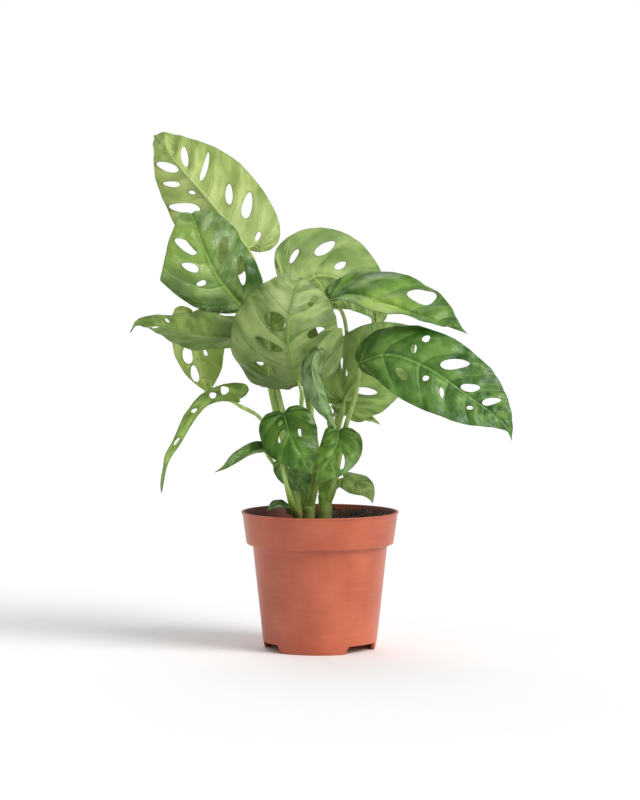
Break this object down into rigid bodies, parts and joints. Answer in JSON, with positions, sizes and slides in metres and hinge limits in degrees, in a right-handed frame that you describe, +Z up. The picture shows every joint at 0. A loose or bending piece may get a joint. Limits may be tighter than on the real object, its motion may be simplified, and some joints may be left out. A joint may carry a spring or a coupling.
{
  "type": "potted swiss-cheese plant",
  "caption": "Young climbing houseplant with oval-holed heart-shaped leaves on thin arching stalks, growing from soil in a round plastic nursery pot.",
  "frame": {"origin": "on the ground, in the middle of the plant's box in plan, 0.4 mm or less from the axis of the pot", "axes": "+Z up; the plant's widest spread runs along X; the pictured side looks towards -Y"},
  "size_m": [0.2851, 0.1434, 0.3951],
  "materials": {
    "pot_plastic": "satin terracotta-coloured moulded plastic",
    "potting_soil": "dark fibrous peat soil",
    "stem": "smooth green stalks",
    "leaf_upper": "semi-gloss dark green leaf",
    "leaf_pale": "pale yellow-green leaf, seen from below"
  },
  "bodies": {
    "root": {"pot": "pot_plastic", "soil": "potting_soil", "shoot_left": "stem", "shoot_middle": "stem", "shoot_right": "stem", "leaf_back_left": "leaf_pale", "leaf_left": "leaf_upper", "leaf_left_low": "leaf_pale", "leaf_left_hanging": "leaf_pale", "leaf_centre": "leaf_pale", "leaf_back_right": "leaf_pale", "leaf_right_high": "leaf_upper", "leaf_right": "leaf_upper", "leaf_back_low_right": "leaf_pale", "leaf_low_right_small": "leaf_pale", "leaf_centre_drooping": "leaf_upper", "leaf_left_arching": "leaf_upper", "leaf_front": "leaf_upper", "leaf_front_left_rolled": "leaf_upper", "leaf_front_low": "leaf_upper", "leaf_front_right": "leaf_upper", "leaf_low_right": "leaf_upper", "leaf_low_left": "leaf_upper", "leaf_back_centre": "leaf_upper"}
  },
  "joints": []
}
